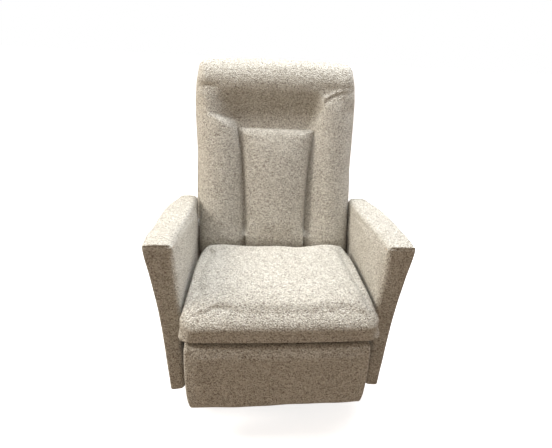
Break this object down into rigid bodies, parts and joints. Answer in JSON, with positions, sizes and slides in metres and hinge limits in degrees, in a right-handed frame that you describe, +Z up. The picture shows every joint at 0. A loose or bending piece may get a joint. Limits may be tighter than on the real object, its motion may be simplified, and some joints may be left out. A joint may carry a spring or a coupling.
{
  "type": "swivel rocker recliner",
  "caption": "Upholstered recliner on a base that swivels and rocks, with a leaning padded back, flared arms, a waterfall seat cushion and a footrest that folds out on links.",
  "frame": {"origin": "on the swivel axis, at floor level under the ring base", "axes": "+X to the sitter's left, +Y to the back of the chair, +Z up; at rest the seat faces -Y"},
  "size_m": [0.774, 0.8525, 1.0805],
  "materials": {
    "steel": "satin black powder coat",
    "zinc": "zinc plated",
    "wood": "unfinished plywood and softwood",
    "nylon": "moulded nylon",
    "plastic": "moulded, fine grain",
    "webbing": "elastic webbing",
    "upholstery": "oatmeal heathered weave with dark flecks"
  },
  "bodies": {
    "base": {"ring_base": "steel", "floor_glides": "nylon", "bearing_lower_race": "zinc", "bearing_balls": "zinc", "swivel_spindle": "zinc", "race_bolts": "zinc"},
    "turntable": {"bearing_upper_race": "zinc", "cross_channels": "steel", "rocker_rail_left": "steel", "rocker_rail_right": "steel", "rocker_pads": "nylon", "spring_brackets_lower": "steel", "turntable_bolts": "zinc", "rocker_springs": "zinc"},
    "chair": {"rocker_cam_left": "wood", "rocker_cam_right": "wood", "spring_brackets_upper": "steel", "cross_tube_front": "steel", "cross_tube_rear": "steel", "side_plate_left": "steel", "side_plate_right": "steel", "track_rollers": "zinc", "back_pivot_studs": "zinc", "arm_frame_left": "wood", "arm_frame_right": "wood", "arm_cover_left": "upholstery", "arm_cover_right": "upholstery", "arm_bolts": "zinc", "release_cup": "plastic", "release_cable": "plastic"},
    "seat": {"seat_plate_left": "steel", "seat_plate_right": "steel", "seat_front_rail": "steel", "seat_rear_rail": "steel", "seat_springs": "zinc", "seat_spring_clips": "zinc", "seat_cushion": "upholstery", "guide_pivots": "zinc"},
    "backrest": {"back_posts": "wood", "back_rails": "wood", "back_webbing": "webbing", "back_bracket_left": "steel", "back_bracket_right": "steel", "drive_pins": "zinc", "back_border_cushion": "upholstery", "lumbar_panel": "upholstery", "outer_back": "upholstery"},
    "swing": {"torque_tube": "steel", "swing_links": "steel"},
    "guide": {"guide_links": "steel"},
    "extension": {"extension_links": "steel", "extension_rivets": "zinc"},
    "tilt": {"tilt_links": "steel", "tilt_rivets": "zinc"},
    "footrest": {"board_brackets": "steel", "footrest_board": "wood", "footrest_pad": "upholstery"},
    "paddle": {"release_paddle": "plastic"}
  },
  "joints": [
    {"name": "swivel", "type": "hinge", "parent": "base", "child": "turntable", "pos_m": [0, 0, 0.0462], "axis": [0, 0, 1], "continuous": true},
    {"name": "rock", "type": "hinge", "parent": "turntable", "child": "chair", "pos_m": [0, 0, 0.1114], "axis": [-1, 0, 0], "range_deg": [-5, 9], "stiffness_Nm_per_rad": 900, "deforming": ["rocker_springs"]},
    {"name": "recline", "type": "hinge", "parent": "chair", "child": "backrest", "pos_m": [0, 0.17, 0.318], "axis": [-1, 0, 0], "range_deg": [0, 36]},
    {"name": "seat_slide", "type": "slide", "parent": "chair", "child": "seat", "axis": [0, -0.9848, 0.1736], "range_m": [0, 0.0597]},
    {"name": "footrest_swing", "type": "hinge", "parent": "seat", "child": "swing", "pos_m": [0, -0.16, 0.262], "axis": [-1, 0, 0], "range_deg": [0, 97]},
    {"name": "guide_pivot", "type": "hinge", "parent": "seat", "child": "guide", "pos_m": [0, -0.10584, 0.25245], "axis": [-1, 0, 0], "range_deg": [0, 97]},
    {"name": "extension_pivot", "type": "hinge", "parent": "swing", "child": "extension", "pos_m": [0, -0.06537, 0.12212], "axis": [-1, 0, 0], "range_deg": [-97, 0]},
    {"name": "tilt_pivot", "type": "hinge", "parent": "swing", "child": "tilt", "pos_m": [0, -0.03526, 0.08868], "axis": [-1, 0, 0], "range_deg": [-97, 0]},
    {"name": "board_pivot", "type": "hinge", "parent": "extension", "child": "footrest", "pos_m": [0, -0.305, 0.249], "axis": [-1, 0, 0], "range_deg": [0, 97]},
    {"name": "release_pull", "type": "hinge", "parent": "chair", "child": "paddle", "pos_m": [-0.35975, -0.11028, 0.45895], "axis": [0.0534, 0.9986, 0], "range_deg": [0, 20], "stiffness_Nm_per_rad": 0.3, "springref_deg": -17.19}
  ],
  "couplings": [
    {"joint": "seat_slide", "follows": "recline", "m_per_rad": 0.095},
    {"joint": "guide_pivot", "follows": "footrest_swing", "ratio": 1},
    {"joint": "extension_pivot", "follows": "footrest_swing", "ratio": -1},
    {"joint": "tilt_pivot", "follows": "footrest_swing", "ratio": -1},
    {"joint": "board_pivot", "follows": "footrest_swing", "ratio": 1}
  ]
}
